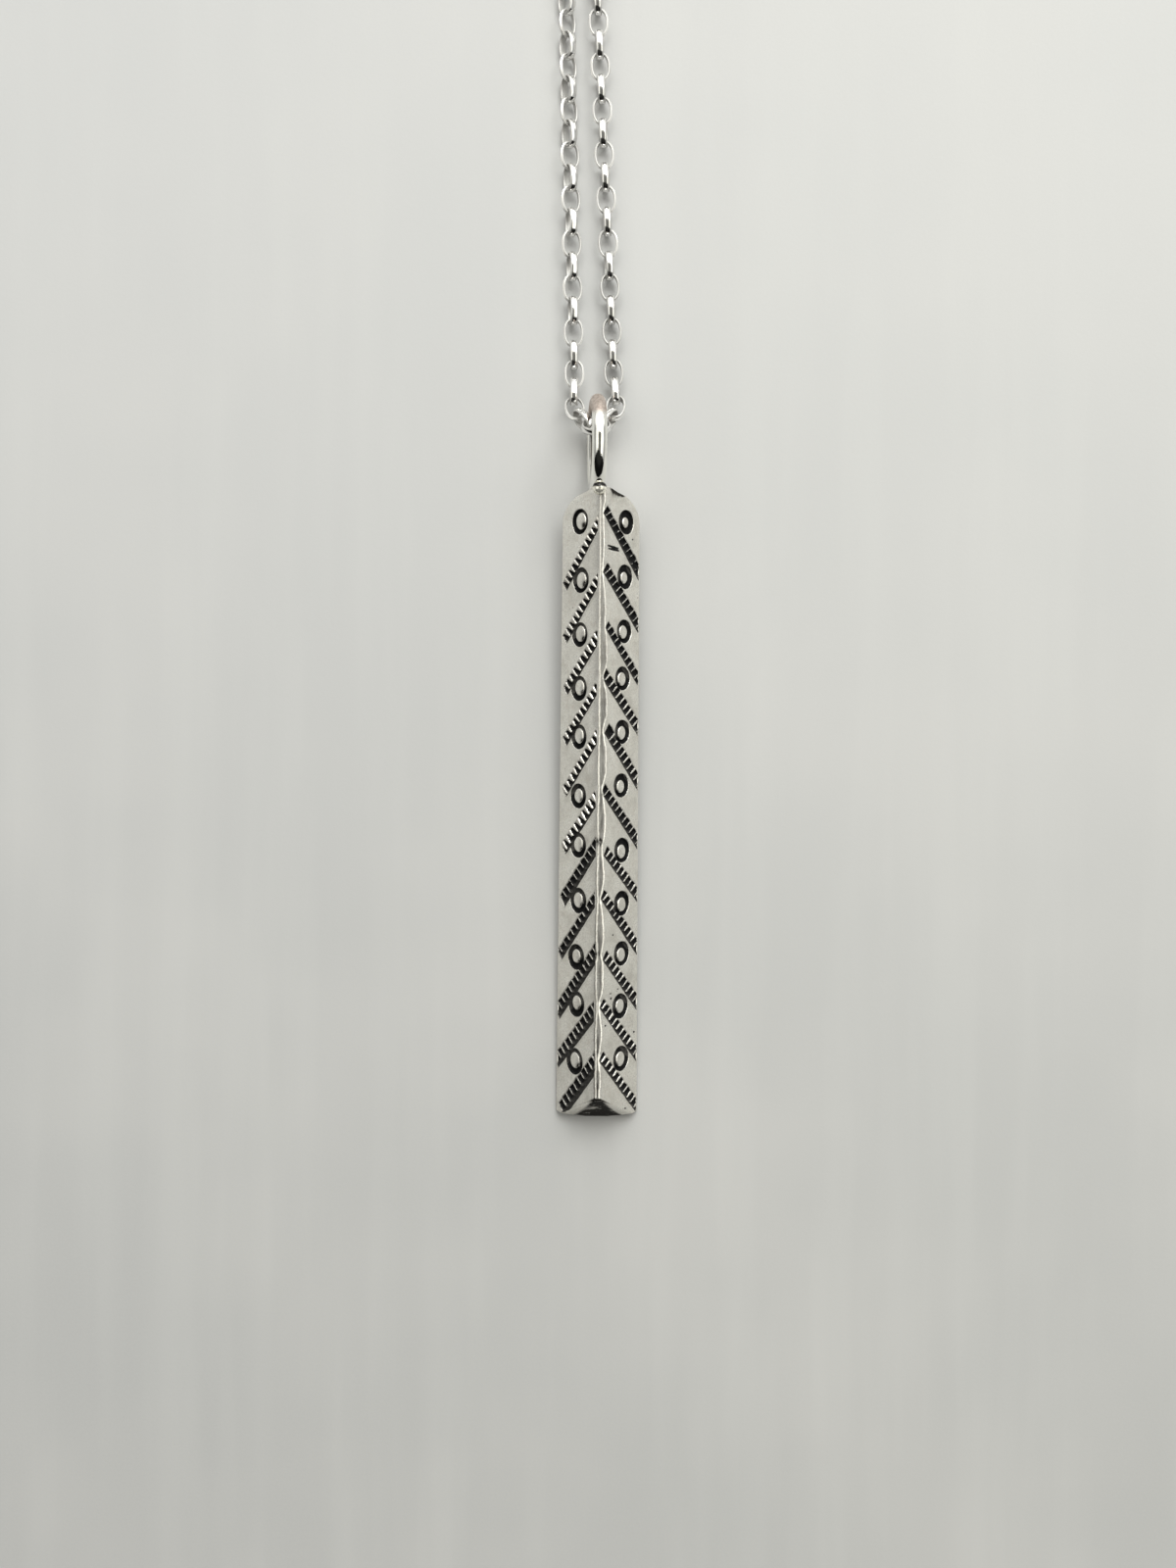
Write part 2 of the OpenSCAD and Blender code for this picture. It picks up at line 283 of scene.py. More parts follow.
def satin_silver():
    """The bar's sloped faces: filed flat, rubbed with fine paper, a little tarnished, and blackened by the
    mesh's marks, which hold painted shade and painted reflection.
    """
    m, n = material("satin_silver")
    dull, clean, bright = (0.74, 0.72, 0.66), (0.91, 0.89, 0.83), (0.97, 0.955, 0.90)
    grey, brown, speck = (0.60, 0.58, 0.54), (0.66, 0.60, 0.53), (0.30, 0.27, 0.24)
    black = (0.02, 0.018, 0.016)
    p = n.place()
    blotch = n.noise(p, 0.55, 4, 0.65)
    fine = n.noise(n.place((900, 9000, 9000), (0, 0, 8)), 1.0, 4, 0.7)
    scratch = n.noise(n.place((7000, 500, 7000), (0, 0, -4)), 1.0, 3, 0.6)
    grain = n.noise(p, 9.0, 3, 0.7)
    marks_and_painted_light = ragged_marks(n, p)
    col = n.ramp(blotch, [(0.32, dull), (0.5, clean), (0.68, bright)])
    col = n.mix(n.span(grain, 0.35, 0.7, 0.0, 0.65), col, grey)
    col = n.mix(n.span(n.noise(p, 1.5, 4, 0.7), 0.5, 0.72, 0.0, 0.4), col, brown)
    col = n.mix(n.span(n.noise(p, 5.5, 2, 0.4), 0.74, 0.79), col, speck)
    # The mesh's marks blacken the metal: dark marks and grime, and painted shade and painted dark reflection
    # along the ridge, next to it and in the round stamps.
    col = n.mix(marks_and_painted_light, col, black)
    rough = n.plus(n.times(fine, 0.18), n.span(blotch, 0.3, 0.7, 0.27, 0.19))
    height = n.plus(n.times(scratch, 0.5), n.times(fine, 0.5))
    n.finish(Base_Color=col, Metallic=n.math("SUBTRACT", 1.0, marks_and_painted_light), Roughness=rough,
             Specular_IOR_Level=0.01, Normal=n.bump(height, 0.35, 0.00001))
    return m


def bright_silver(name, rough, dull=0.0, metal=1.0):
    """Polished silver wire, with faint haze and fine hairlines."""
    m, n = material(name)
    haze = n.noise(n.place(), 0.9, 3, 0.6)
    hair = n.noise(n.place((9000, 1400, 9000), (20, 0, 30)), 1.0, 3, 0.65)
    col = n.ramp(haze, [(0.3, (0.86 - dull, 0.85 - dull, 0.83 - dull)),
                        (0.7, (0.95 - dull, 0.945 - dull, 0.93 - dull))])
    rough = n.plus(n.times(haze, rough * 0.9), rough * 0.4)
    n.finish(Base_Color=col, Metallic=metal, Roughness=rough, Normal=n.bump(hair, 0.12, 0.00001))
    return m


def oxide():
    """The blackened floors and walls of the stamps, rubbed to grey in places, grey towards the combs'
    spines, and with painted light greying one side of each round stamp's groove.
    """
    m, n = material("oxide")
    black, soot, dust = (0.003, 0.003, 0.004), (0.009, 0.009, 0.009), (0.03, 0.029, 0.027)
    grey = (0.2, 0.19, 0.175)
    p = n.place()
    grain = n.noise(p, 6.0, 4, 0.7)
    # Greyed by the mesh's marks, painted light on one wall of each round stamp and grey towards the combs'
    # spines, and in random rubbed patches.
    greying = n.plus(n.marks_and_painted_light(), n.span(n.noise(p, 1.6, 3, 0.6), 0.62, 0.85, 0.0, 0.08))
    greying = n.times(n.math("MINIMUM", greying, 1.0), n.span(grain, 0.3, 0.6, 0.3, 1.0))
    col = n.mix(greying, n.ramp(grain, [(0.3, black), (0.6, soot), (0.8, dust)]), grey)
    n.finish(Base_Color=col, Roughness=0.5, Specular_IOR_Level=0.05, Normal=n.bump(grain, 0.5, 0.00002))
    return m


def ring_silver():
    """The bail ring: polished, with a dull brownish patch on its far side."""
    m, n = material("ring_silver")
    brown, dun, pale = (0.40, 0.33, 0.29), (0.58, 0.50, 0.45), (0.70, 0.64, 0.58)
    dull, bright, shadow = (0.86, 0.85, 0.80), (0.95, 0.945, 0.90), (0.10, 0.085, 0.075)
    p = n.place()
    x, y, z = n.axes()
    haze = n.noise(p, 1.4, 3, 0.6)
    spots = n.noise(p, 4.5, 3, 0.7)
    far = n.span(y, RING_Y + 0.0013, RING_Y + 0.0026)
    far = n.span(n.plus(far, n.times(haze, 0.7)), 0.5, 1.15)
    patch = n.ramp(spots, [(0.35, brown), (0.55, dun), (0.75, pale)])
    col = n.mix(far, n.ramp(haze, [(0.3, dull), (0.7, bright)]), patch)
    # A dark line along the top of the ring's lower part.
    off = n.math("ABSOLUTE", n.math("SUBTRACT", x, LOW_RING[0]))
    low = n.span(z, LOW_RING[2] + 0.0030, LOW_RING[2] + 0.0022)
    low = n.times(low, n.span(off, 0.00034, 0.00024))
    col = n.mix(low, col, shadow)
    rough = n.plus(n.times(far, 0.4), n.times(haze, 0.1))
    rough = n.plus(rough, n.times(low, 0.3))
    n.finish(Base_Color=col, Metallic=1.0, Roughness=rough, Normal=n.bump(haze, 0.2, 0.00006))
    return m


def solder_silver():
    """The bead: whitish solder, with painted shade and painted dark reflection of the ring in a black band
    on its side towards the ring.
    """
    m, n = material("solder_silver")
    dull, clean, bright = (0.42, 0.40, 0.33), (0.90, 0.88, 0.78), (1.0, 0.98, 0.89)
    black = (0.015, 0.014, 0.013)
    y = n.axes()[1]
    spots = n.noise(n.place(), 2.6, 3, 0.6)
    edge = n.plus(y, n.times(spots, 0.0003))
    # Painted shade and dark reflection of the ring: a black band across the bead on the ring's side.
    band = n.times(n.span(edge, BEAD_Y + 0.00022, BEAD_Y + 0.00032),
                  n.span(edge, BEAD_Y + 0.00064, BEAD_Y + 0.00058))
    col = n.mix(band, n.ramp(spots, [(0.33, dull), (0.45, clean), (0.7, bright)]), black)
    n.finish(Base_Color=col, Metallic=0.7, Roughness=0.14, Normal=n.bump(spots, 0.3, 0.00005))
    return m


def floor_paper():
    """Pale paper, with painted shade making it darker towards the viewer and painted light making it
    brighter to the right, with streaks and grain.
    """
    m, n = material("floor_paper")
    near, far, painted_light_right = (0.352, 0.353, 0.352), (0.478, 0.480, 0.482), (1.06, 1.06, 1.05)
    blotch, line, speck = (0.62, 0.60, 0.58), (0.58, 0.585, 0.57), (0.45, 0.45, 0.44)
    x, y, _ = n.axes()
    p = n.place()
    mottle = n.noise(p, 0.035, 3, 0.5)
    streak = n.noise(n.place((160, 12, 160)), 1.0, 3, 0.6)
    grain = n.noise(p, 3.0, 3, 0.7)
    # Painted shade darkens the paper towards the viewer; painted light brightens it to the right.
    col = n.mix(n.span(y, -0.15, 0.0), near, far)
    col = n.mix(n.span(x, -0.04, 0.04), col, n.mix(1.0, col, painted_light_right, "MULTIPLY"))
    col = n.mix(n.span(mottle, 0.35, 0.7, 0.0, 0.12), col, blotch)
    col = n.mix(n.span(streak, 0.4, 0.7, 0.0, 0.10), col, line)
    col = n.mix(n.span(n.noise(p, 5.0, 2, 0.6), 0.3, 0.7, 0.0, 0.10), col, speck)
    n.finish(Base_Color=col, Roughness=0.75, Specular_IOR_Level=0.25, Normal=n.bump(grain, 0.15, 0.00005))
    return m


# Places that the materials of the ring and of the bead need.
RING_Y = from_bar([(BAIL_X, BAIL_Y, BAIL_UP)])[0][1]
LOW_RING = from_bar([(BAIL_X - BAIL_R * sin(BAIL_ROLL), BAIL_Y, BAIL_UP - BAIL_R * cos(BAIL_ROLL))])[0]
BEAD_Y = from_bar([(0, BAR_L - 0.02, TOP_H)])[0][1]

SATIN = satin_silver()
OXIDE = oxide()
RING = ring_silver()
SOLDER = solder_silver()
LINKS = bright_silver("chain_silver", 0.16)
LINK_EDGES = bright_silver("chain_edge_silver", 0.5, 0.36, 0.5)
BRIGHT = bright_silver("bright_silver", 0.09)


def mesh_object(name, verts, faces, materials, slots=None, smooth=True):
    """A mesh object from vertices in metres, faces and each face's material."""
    mesh = bpy.data.meshes.new(name)
    mesh.from_pydata(verts, [], faces)
    for m in materials:
        mesh.materials.append(m)
    if slots is not None:
        mesh.polygons.foreach_set("material_index", np.asarray(slots, np.int32))
    mesh.polygons.foreach_set("use_smooth", np.full(len(faces), smooth))
    mesh.validate()
    ob = bpy.data.objects.new(name, mesh)
    bpy.context.scene.collection.objects.link(ob)
    return ob


# Helpers for shapes that fade in and out
def between(v, start, end):
    """0 at start and 1 at end, straight from one to the other."""
    return np.clip((v - start) / (end - start), 0, 1)


def hump(v, middle, width):
    """1 in the middle, soft down to 0 on both sides."""
    return np.exp(-((v - middle) / width) ** 2)


def wobble(u, v, k):
    """A smooth handmade unevenness between about -1 and 1."""
    return (np.sin(1.9 * u + 2.7 * v + k) + np.sin(3.7 * u - 1.3 * v + 2.1 * k)
            + np.sin(-1.1 * u + 5.3 * v + 0.7 * k)) / 3


# Stamps, from the chain end down, measured in the photo. A comb stroke is:
# where its spine starts along the ridge, angle to the ridge, length, width over
# the teeth at the ridge and at the outer end, pitch of the teeth, first land, land
# between two teeth, how far the lands lean and how far they run in from the tips.
LEFT_COMBS = [
    (47.6, 41.2, 6.20, 0.76, 0.84, 0.62, 0.04, 0.15, -0.18, 0.84),
    (43.1, 42.3, 6.00, 0.78, 0.86, 0.63, -0.37, 0.15, -0.18, 0.84),
    (38.45, 44.7, 5.55, 0.95, 0.88, 0.655, -0.31, 0.15, -0.17, 0.84),
    (34.55, 43.5, 5.75, 0.76, 0.86, 0.64, -0.02, 0.15, -0.18, 0.84),
    (30.6, 42.4, 5.85, 0.82, 0.84, 0.67, -0.42, 0.16, -0.16, 0.84),
    (25.65, 44.2, 5.65, 1.02, 0.96, 0.69, -0.24, 0.19, -0.12, 0.82),
    (21.7, 42.5, 5.95, 1.05, 1.08, 0.685, -0.28, 0.06, -0.05, 0.72),
    (17.7, 42.8, 6.45, 0.86, 0.92, 0.715, 0.17, 0.10, 0.00, 0.62),
    (13.05, 42.9, 6.75, 1.15, 1.12, 0.665, -0.10, 0.09, 0.00, 0.66),
    (8.55, 46.6, 6.50, 1.20, 1.05, 0.68, 0.24, 0.12, -0.01, 0.66),
    (4.1, 44.2, 5.60, 1.32, 1.30, 0.70, -0.21, 0.11, 0.00, 0.62)]
RIGHT_COMBS = [
    (48.75, 43.0, 6.72, 0.80, 1.00, 0.63, 0.20, 0.045, -0.25, 0.80),
    (44.1, 45.5, 6.45, 0.95, 0.92, 0.64, 0.17, 0.065, -0.20, 0.82),
    (40.05, 44.2, 6.50, 0.70, 0.85, 0.65, 0.69, 0.09, -0.18, 0.84),
    (35.7, 46.6, 6.50, 0.94, 0.96, 0.655, 0.27, 0.13, -0.17, 0.84),
    (31.7, 44.0, 6.80, 1.00, 1.00, 0.66, 0.54, 0.14, -0.17, 0.84),
    (26.65, 45.6, 6.60, 0.85, 0.96, 0.65, 0.32, 0.1, -0.17, 0.84),
    (21.95, 48.3, 6.35, 0.84, 0.94, 0.645, 0.66, 0.13, -0.17, 0.82),
    (18.2, 44.7, 6.78, 0.85, 0.98, 0.65, 0.20, 0.14, -0.17, 0.82),
    (13.65, 45.0, 6.80, 0.85, 0.98, 0.655, 0.71, 0.15, -0.17, 0.82),
    (9.45, 45.0, 6.85, 0.86, 0.92, 0.67, 0.13, 0.16, -0.17, 0.80),
    (5.2, 45.6, 6.70, 0.85, 0.86, 0.685, 0.15, 0.17, -0.17, 0.80)]
# A round stamp is: outer circle along and down the face, its radius, then how far
# its inner circle is off along and down, and that circle's radius.
LEFT_ROUNDS = [
    (48.40, 2.37, 1.02, 0.03, -0.14, 0.62), (43.72, 2.22, 1.02, -0.02, -0.09, 0.61),
    (39.37, 2.31, 0.99, 0.06, -0.11, 0.60), (35.06, 2.35, 1.01, 0.07, -0.10, 0.58),
    (31.18, 2.33, 1.00, 0.07, -0.06, 0.57), (26.42, 2.33, 1.00, 0.02, -0.05, 0.53),
    (22.46, 2.30, 1.02, 0.08, -0.04, 0.57), (18.00, 2.23, 1.04, 0.04, 0.00, 0.58),
    (13.42, 2.46, 1.04, 0.08, -0.04, 0.52), (9.62, 2.40, 1.05, 0.12, -0.08, 0.54),
    (4.94, 2.57, 1.08, 0.10, -0.07, 0.60)]
RIGHT_ROUNDS = [
    (48.42, 2.87, 0.98, -0.04, -0.12, 0.39), (44.04, 2.76, 0.98, -0.08, -0.12, 0.43),
    (39.67, 2.73, 0.95, -0.06, -0.15, 0.50), (35.89, 2.56, 0.96, -0.04, -0.11, 0.51),
    (31.60, 2.58, 0.97, -0.08, -0.08, 0.50), (27.29, 2.49, 0.97, -0.08, -0.08, 0.48),
    (22.06, 2.65, 1.00, -0.10, -0.06, 0.52), (17.77, 2.68, 1.01, -0.10, 0.00, 0.53),
    (13.71, 2.72, 0.99, -0.10, -0.06, 0.52), (9.46, 2.59, 1.02, 0.02, -0.03, 0.53),
    (5.18, 2.76, 1.03, -0.02, -0.08, 0.56)]
# Two scratches on the right face: down, along and slant.
SCRATCHES = [(0.55, 46.36, -0.10), (0.62, 46.14, -0.06)]
# Pits in the right face: down, along and radius.
PITS = [(3.75, 47.1, 0.07), (1.55, 15.3, 0.07), (1.35, 10.2, 0.09), (1.3, 10.6, 0.07),
        (0.65, 8.1, 0.08), (2.25, 10.85, 0.07), (4.5, 7.1, 0.09), (3.4, 1.0, 0.08)]
COMB_DEPTH, ROUND_DEPTH, SCRATCH_DEPTH, PIT_DEPTH = 0.2, 0.22, 0.06, 0.05
WALL = 0.13  # width of a stamp's wall, seen from above
LIP = 0.025  # how far the face rounds down to a stamp's outline
LOW_COMBS = 6  # from this stroke on, the left face's strokes have low, narrow lands


def land_form(across, g, half, land, k, left):
    """A land between two teeth: half its width, its height and how dull it is.

    across is the distance from its middle line, g the share of the way from its foot
    to the teeth's tips.
    """
    low = left and k >= LOW_COMBS
    if low:
        side = half / 2 * np.minimum(g / 0.3, 1.2 - 0.4 * g)
    elif left:
        side = half * (0.40 + 0.95 * g)
    else:
        side = half * (0.25 + 0.32 * g)
    if left and not low:
        ahead = (across + side) / 0.07
        behind = (side - across) / np.maximum(2 * side - 0.07, 0.02)
        lift = 0.07 * np.clip(np.minimum(ahead, behind), 0, 1)
    else:
        top = 0.05 if left else 0.26 * land
        lift = np.clip((across + side) / np.maximum(2 * side, 0.02), 0, 1) * top
    most = 0.55 if not low else 0.75 if k == LOW_COMBS else 0.42
    return side, lift, most * np.clip((across + side - 0.055) / 0.05, 0, 1)


def comb(a, b, u, k, left, length, w0, w1, pitch, first, land, lean, reach):
    """One comb stroke; a runs along its spine, b across its teeth.

    Gives the distance to its outline, how high its lands stand, how grey its black is
    towards the spine and how dull its lands are.
    """
    rng = np.random.default_rng(40 * left + k)
    start = -1.6 if left else -0.2 + 0.5 * (first > 0.5)
    width = w0 + (w1 - w0) * np.clip(a / length, 0, 1)
    if not left:
        width = width * (1 - 0.75 * np.clip((a - length + 0.75) / 0.75, 0, 1) ** 2)
    # The sunk stroke, from its spine to its teeth's tips, cut off at both ends.
    tips = width + 0.03 * np.sin(5.3 * a + k)
    cap = a + (0.26 if left else 0.42) * b - length
    dist = np.maximum(np.maximum(-b, b - tips), np.maximum(start - a - 0.15 * b, cap))
    if left:
        dist = np.maximum(dist, 0.04 + 0.05 * math.sin(3 * k) - u)
    inside = np.clip(0.5 - dist / 0.04, 0, 1)
    # The bright lands left standing between its teeth.
    lands = np.full(a.shape, -1.0)
    rise, grime = np.zeros(a.shape), np.zeros(a.shape)
    for t in range(-2, int((length - first) / pitch) + 2):
        at = first + t * pitch + rng.normal(0, 0.02)
        half = land * (1 + rng.normal(0, 0.16))
        foot = width * (1 - reach * (1 + rng.normal(0, 0.06)))
        if at < start + 0.25 or at > length - 0.12:
            continue
        across = a - at + lean * (b - width / 2)
        g = np.clip((b - foot) / np.maximum(width - foot, 0.1), 0, 1.1)
        side, lift, soot = land_form(across, g, half, land, k, left)
        one = np.minimum(side - np.abs(across), (b - foot) * 0.8)
        rise = np.where(one > lands, lift * np.clip(1 + one / 0.04, 0, 1), rise)
        grime = np.where(one > lands, soot, grime)
        lands = np.maximum(lands, one)
    rise = rise * inside
    if left and k >= LOW_COMBS:
        rise = rise * 0.5
        greying = 0.17 * np.clip((0.52 * width - b) / 0.1, 0, 1)
    else:
        greying = 0.3 * np.clip(1.2 - b / (0.4 * width), 0, 1)
    grime = inside * grime if left else 0 * a
    return np.maximum(dist, lands) + 0.016 * wobble(2.6 * a, 2.6 * b, k), rise, greying, grime


def round_stamp(du, dv, k, left, r, off_v, off_u, inner):
    """Gives for one round stamp what comb gives, its greying a painted highlight on one side of its groove,
    and last a painted dark reflection on the disc inside it.
    """
    reach = np.hypot((du - off_u) / inner, (dv - off_v) / (1.06 * inner))
    dist = np.maximum(np.hypot(du, dv) - r, inner * (1 - reach)) + 0.016 * wobble(1.5 * du, 1.5 * dv, k)
    rise = (0.075 if left else 0.055) * np.clip(1 - reach ** 2, 0, 1)
    # Painted light: one side of the groove's wall is greyed as if it caught the light.
    toward = 0.5 * dv - 0.75 * du if left else 0.15 * dv - 0.95 * du
    greying = 1.3 * np.clip(toward / r - 0.42, 0, 0.5) * (dist < 0.03)
    # Painted dark reflection: a dark spot on the disc inside the ring.
    grime_and_painted_reflection = np.exp(-((du + 0.6) / 0.26) ** 2 - ((dv + 0.36) / 0.26) ** 2) * (2.0 if left else 0.3)
    return dist, rise, greying, grime_and_painted_reflection * (reach < 1)


class Stamps:
    """The stamps of one sloped face, at places u down the face and v along the bar.

    It has the signed distance to the nearest outline, negative inside, and the depth
    there, the rise of what stands in a stamp, how grey the black is, a painted highlight
    in the round stamps, and how dark the bright metal is, from grime on the lands and
    a painted dark reflection in the round stamps' discs.
    """

    def __init__(self, u, v, left):
        self.dist = np.full(u.shape, 1.0)
        self.depth = np.full(u.shape, COMB_DEPTH)
        self.rise = np.zeros(u.shape)
        self.greying = np.zeros(u.shape)
        self.grime_and_painted_reflection = np.zeros(u.shape)
        for k, (along, angle, length, w0, w1, *rest) in enumerate(LEFT_COMBS if left else RIGHT_COMBS):
            s, c = sin(angle), cos(angle)
            a, b = u * s - (v - along) * c, u * c + (v - along) * s
            where = (a > -1.8) & (a < length + 0.4) & (b > -0.4) & (b < 1.8)
            self.join(where, COMB_DEPTH, *comb(a[where], b[where], u[where], k, left, length, w0, w1, *rest))
        for k, (along, down, *rest) in enumerate(LEFT_ROUNDS if left else RIGHT_ROUNDS):
            where = (np.abs(u - down) < 1.6) & (np.abs(v - along) < 1.6)
            self.join(where, ROUND_DEPTH, *round_stamp(u[where] - down, v[where] - along, k, left, *rest))
        if not left:
            self.add_marks(u, v)

    def join(self, where, depth, dist, *more):
        """Take in one stamp: its distance where it is the nearest, its looks where they are strongest."""
        idx = np.flatnonzero(where)
        near = dist < self.dist.flat[idx]
        self.dist.flat[idx[near]] = dist[near]
        self.depth.flat[idx[near]] = depth
        for field, values in zip((self.rise, self.greying, self.grime_and_painted_reflection), more):
            field.flat[idx] = np.maximum(field.flat[idx], values)

    def add_marks(self, u, v):
        """Two stray scratches, and pits."""
        for down, along, slant in SCRATCHES:
            where = (np.abs(u - down - 0.6) < 1.3) & (np.abs(v - along) < 0.6)
            a = u[where] - down
            b = v[where] - along - slant * a
            beyond, aside = np.abs(a - 0.62) - 0.72, np.abs(b) - 0.1 + 0.05 * np.abs(a - 0.6)
            self.join(where, SCRATCH_DEPTH, np.maximum(beyond, aside))
        for down, along, r in PITS:
            where = (np.abs(u - down) < 0.4) & (np.abs(v - along) < 0.4)
            self.join(where, PIT_DEPTH, np.hypot((u[where] - down) * 0.8, v[where] - along) - r)

    def relief(self):
        """Height over the face: a low burr round each stamp, its rounded edge, wall and floor."""
        out = np.maximum(self.dist, 0)
        h = 0.016 * hump(out, 0.1, 0.06) - LIP * np.exp(-out / 0.03)
        t = np.clip(-self.dist / WALL, 0, 1)
        return h + self.rise * (1 - t) - (self.depth - LIP) * t * t * (3 - 2 * t)


# The ridge's two bright edges, measured along the bar in the photo: place, left, right.
RIDGE = np.array([
    (2.6, -0.09, 0.17), (3.8, -0.13, 0.24), (4.7, -0.11, 0.18), (5.5, -0.07, 0.08), (6.1, -0.12, 0.18),
    (7.4, -0.14, 0.30), (8.8, -0.09, 0.19), (9.7, -0.04, 0.08), (10.1, -0.06, 0.14), (11.0, -0.14, 0.33),
    (13.0, -0.14, 0.34), (13.9, -0.04, 0.20), (14.6, -0.10, 0.33), (15.5, -0.15, 0.37), (17.2, -0.09, 0.27),
    (18.3, -0.04, 0.12), (18.9, -0.09, 0.24), (20.0, -0.12, 0.37), (21.6, -0.06, 0.26), (22.3, -0.03, 0.21),
    (23.5, -0.06, 0.38), (24.8, -0.10, 0.42), (26.4, -0.05, 0.27), (27.2, -0.02, 0.17), (28.2, -0.07, 0.42),
    (30.2, -0.06, 0.41), (31.8, -0.01, 0.19), (32.8, -0.05, 0.43), (34.6, -0.04, 0.42), (36.1, -0.01, 0.18),
    (36.9, -0.05, 0.45), (38.8, -0.06, 0.45), (40.2, -0.07, 0.31), (41.4, -0.08, 0.36), (42.6, -0.08, 0.28),
    (43.6, -0.08, 0.18), (44.4, -0.04, 0.07), (45.4, -0.05, 0.17), (46.8, -0.07, 0.21), (48.6, -0.09, 0.13),
    (49.3, -0.08, 0.09), (49.8, -0.08, 0.27), (50.8, -0.06, 0.2)])


def ridge_lines(y):
    """The ridge's left and right edge at places along the bar."""
    def smooth(column):
        x = np.interp(y, RIDGE[:, 0], RIDGE[:, column])
        for step in (-0.25, 0.25):
            x = x + np.interp(y + step, RIDGE[:, 0], RIDGE[:, column])
        return x / 3
    jitter = 0.010 * np.sin(7 * y) + 0.006 * np.sin(15 * y + 1)
    # The right edge stands a little further out where the ridge is broad.
    right = smooth(2)
    right = right + (0.12 + 0.25 * between(y, 38, 34)) * np.maximum(right - 0.12, 0) + 0.05
    return smooth(1) + jitter, right - jitter


def chain_end(x, edge):
    """Where the bar ends at its chain end: a drooping line, round corners and a raised middle."""
    half = TOP_W / 2
    x = x / edge * half
    round_corner = BAR_L - CORNER_R + np.sqrt(np.maximum(CORNER_R ** 2 - (x - half + CORNER_R) ** 2, 0))
    end = np.where(x > half - CORNER_R, round_corner, BAR_L)
    return end - 0.75 * (x / half) ** 2 + 0.25 * np.exp(-(x / 1.1) ** 4)


def low_end(x):
    """Where the bar's face starts at its lower end, which bulges and leans back."""
    height = np.minimum(BAR_H, BAR_H - SLOPE * (x - RIDGE_W / 2))
    return np.maximum(LOW_BOW * (x / (LOW_W / 2)) ** 2, height * BEVEL_TAN)


def end_black(f, x, left):
    """How black the lower end's wall is at a share of its height and a distance off its middle."""
    reach = (0.25 + 1.65 * (1 - f)) if left else (0.35 + 2.0 * (1 - f) + 1.9 * (f < 0.2))
    black = np.clip(0.5 + (reach - np.abs(x)) / 0.8, 0, 1)
    streak = 0.85 * hump(f, 0.55, 0.13) * hump(x, -0.3, 0.8) + 0.5 * hump(f, 0.28, 0.1) * hump(x, -0.8, 0.35)
    return 2.1 * black * (1 - streak)


# The bar's mesh: shares of the way along it, from the middle of its ridge to the
# ridge's edge, and from there to the outer edge. They are closer at the ends.
NEAR_END = np.array([0.0004, 0.001, 0.0018])
MIDWAY = np.linspace(0, 1, 900)
MIDWAY = MIDWAY[(MIDWAY > 0.0022) & (MIDWAY < 0.9978)]
ALONG = np.concatenate([[0], NEAR_END, MIDWAY, 1 - NEAR_END[::-1], [1]])
ON_RIDGE = np.array([0, 0.4, 0.7, 0.88])
ON_FACE = np.concatenate([[0, 0.006, 0.013, 0.022, 0.033], np.linspace(0.046, 0.94, 78),
                          [0.955, 0.968, 0.978, 0.986, 0.993, 0.998, 1]])
ACROSS = np.concatenate([ON_RIDGE, ON_FACE])
IS_RIDGE = np.arange(len(ACROSS)) < len(ON_RIDGE)
SNAP = 0.026  # how near to a stamp's outline a vertex moves onto it
NUDGE = 0.004  # step over which the outline's direction is measured
# The walls go down in steps, given as shares of the rim's height.
WALL_SHARES = [0.97, 0.91, 0.84, 0.76, 0.68, 0.60, 0.52, 0.44, 0.35, 0.25, 0.16, 0.08, 0.0]
FOOT, FOOT_H = 0.09, 0.07  # inset and height of the small bevel round the back


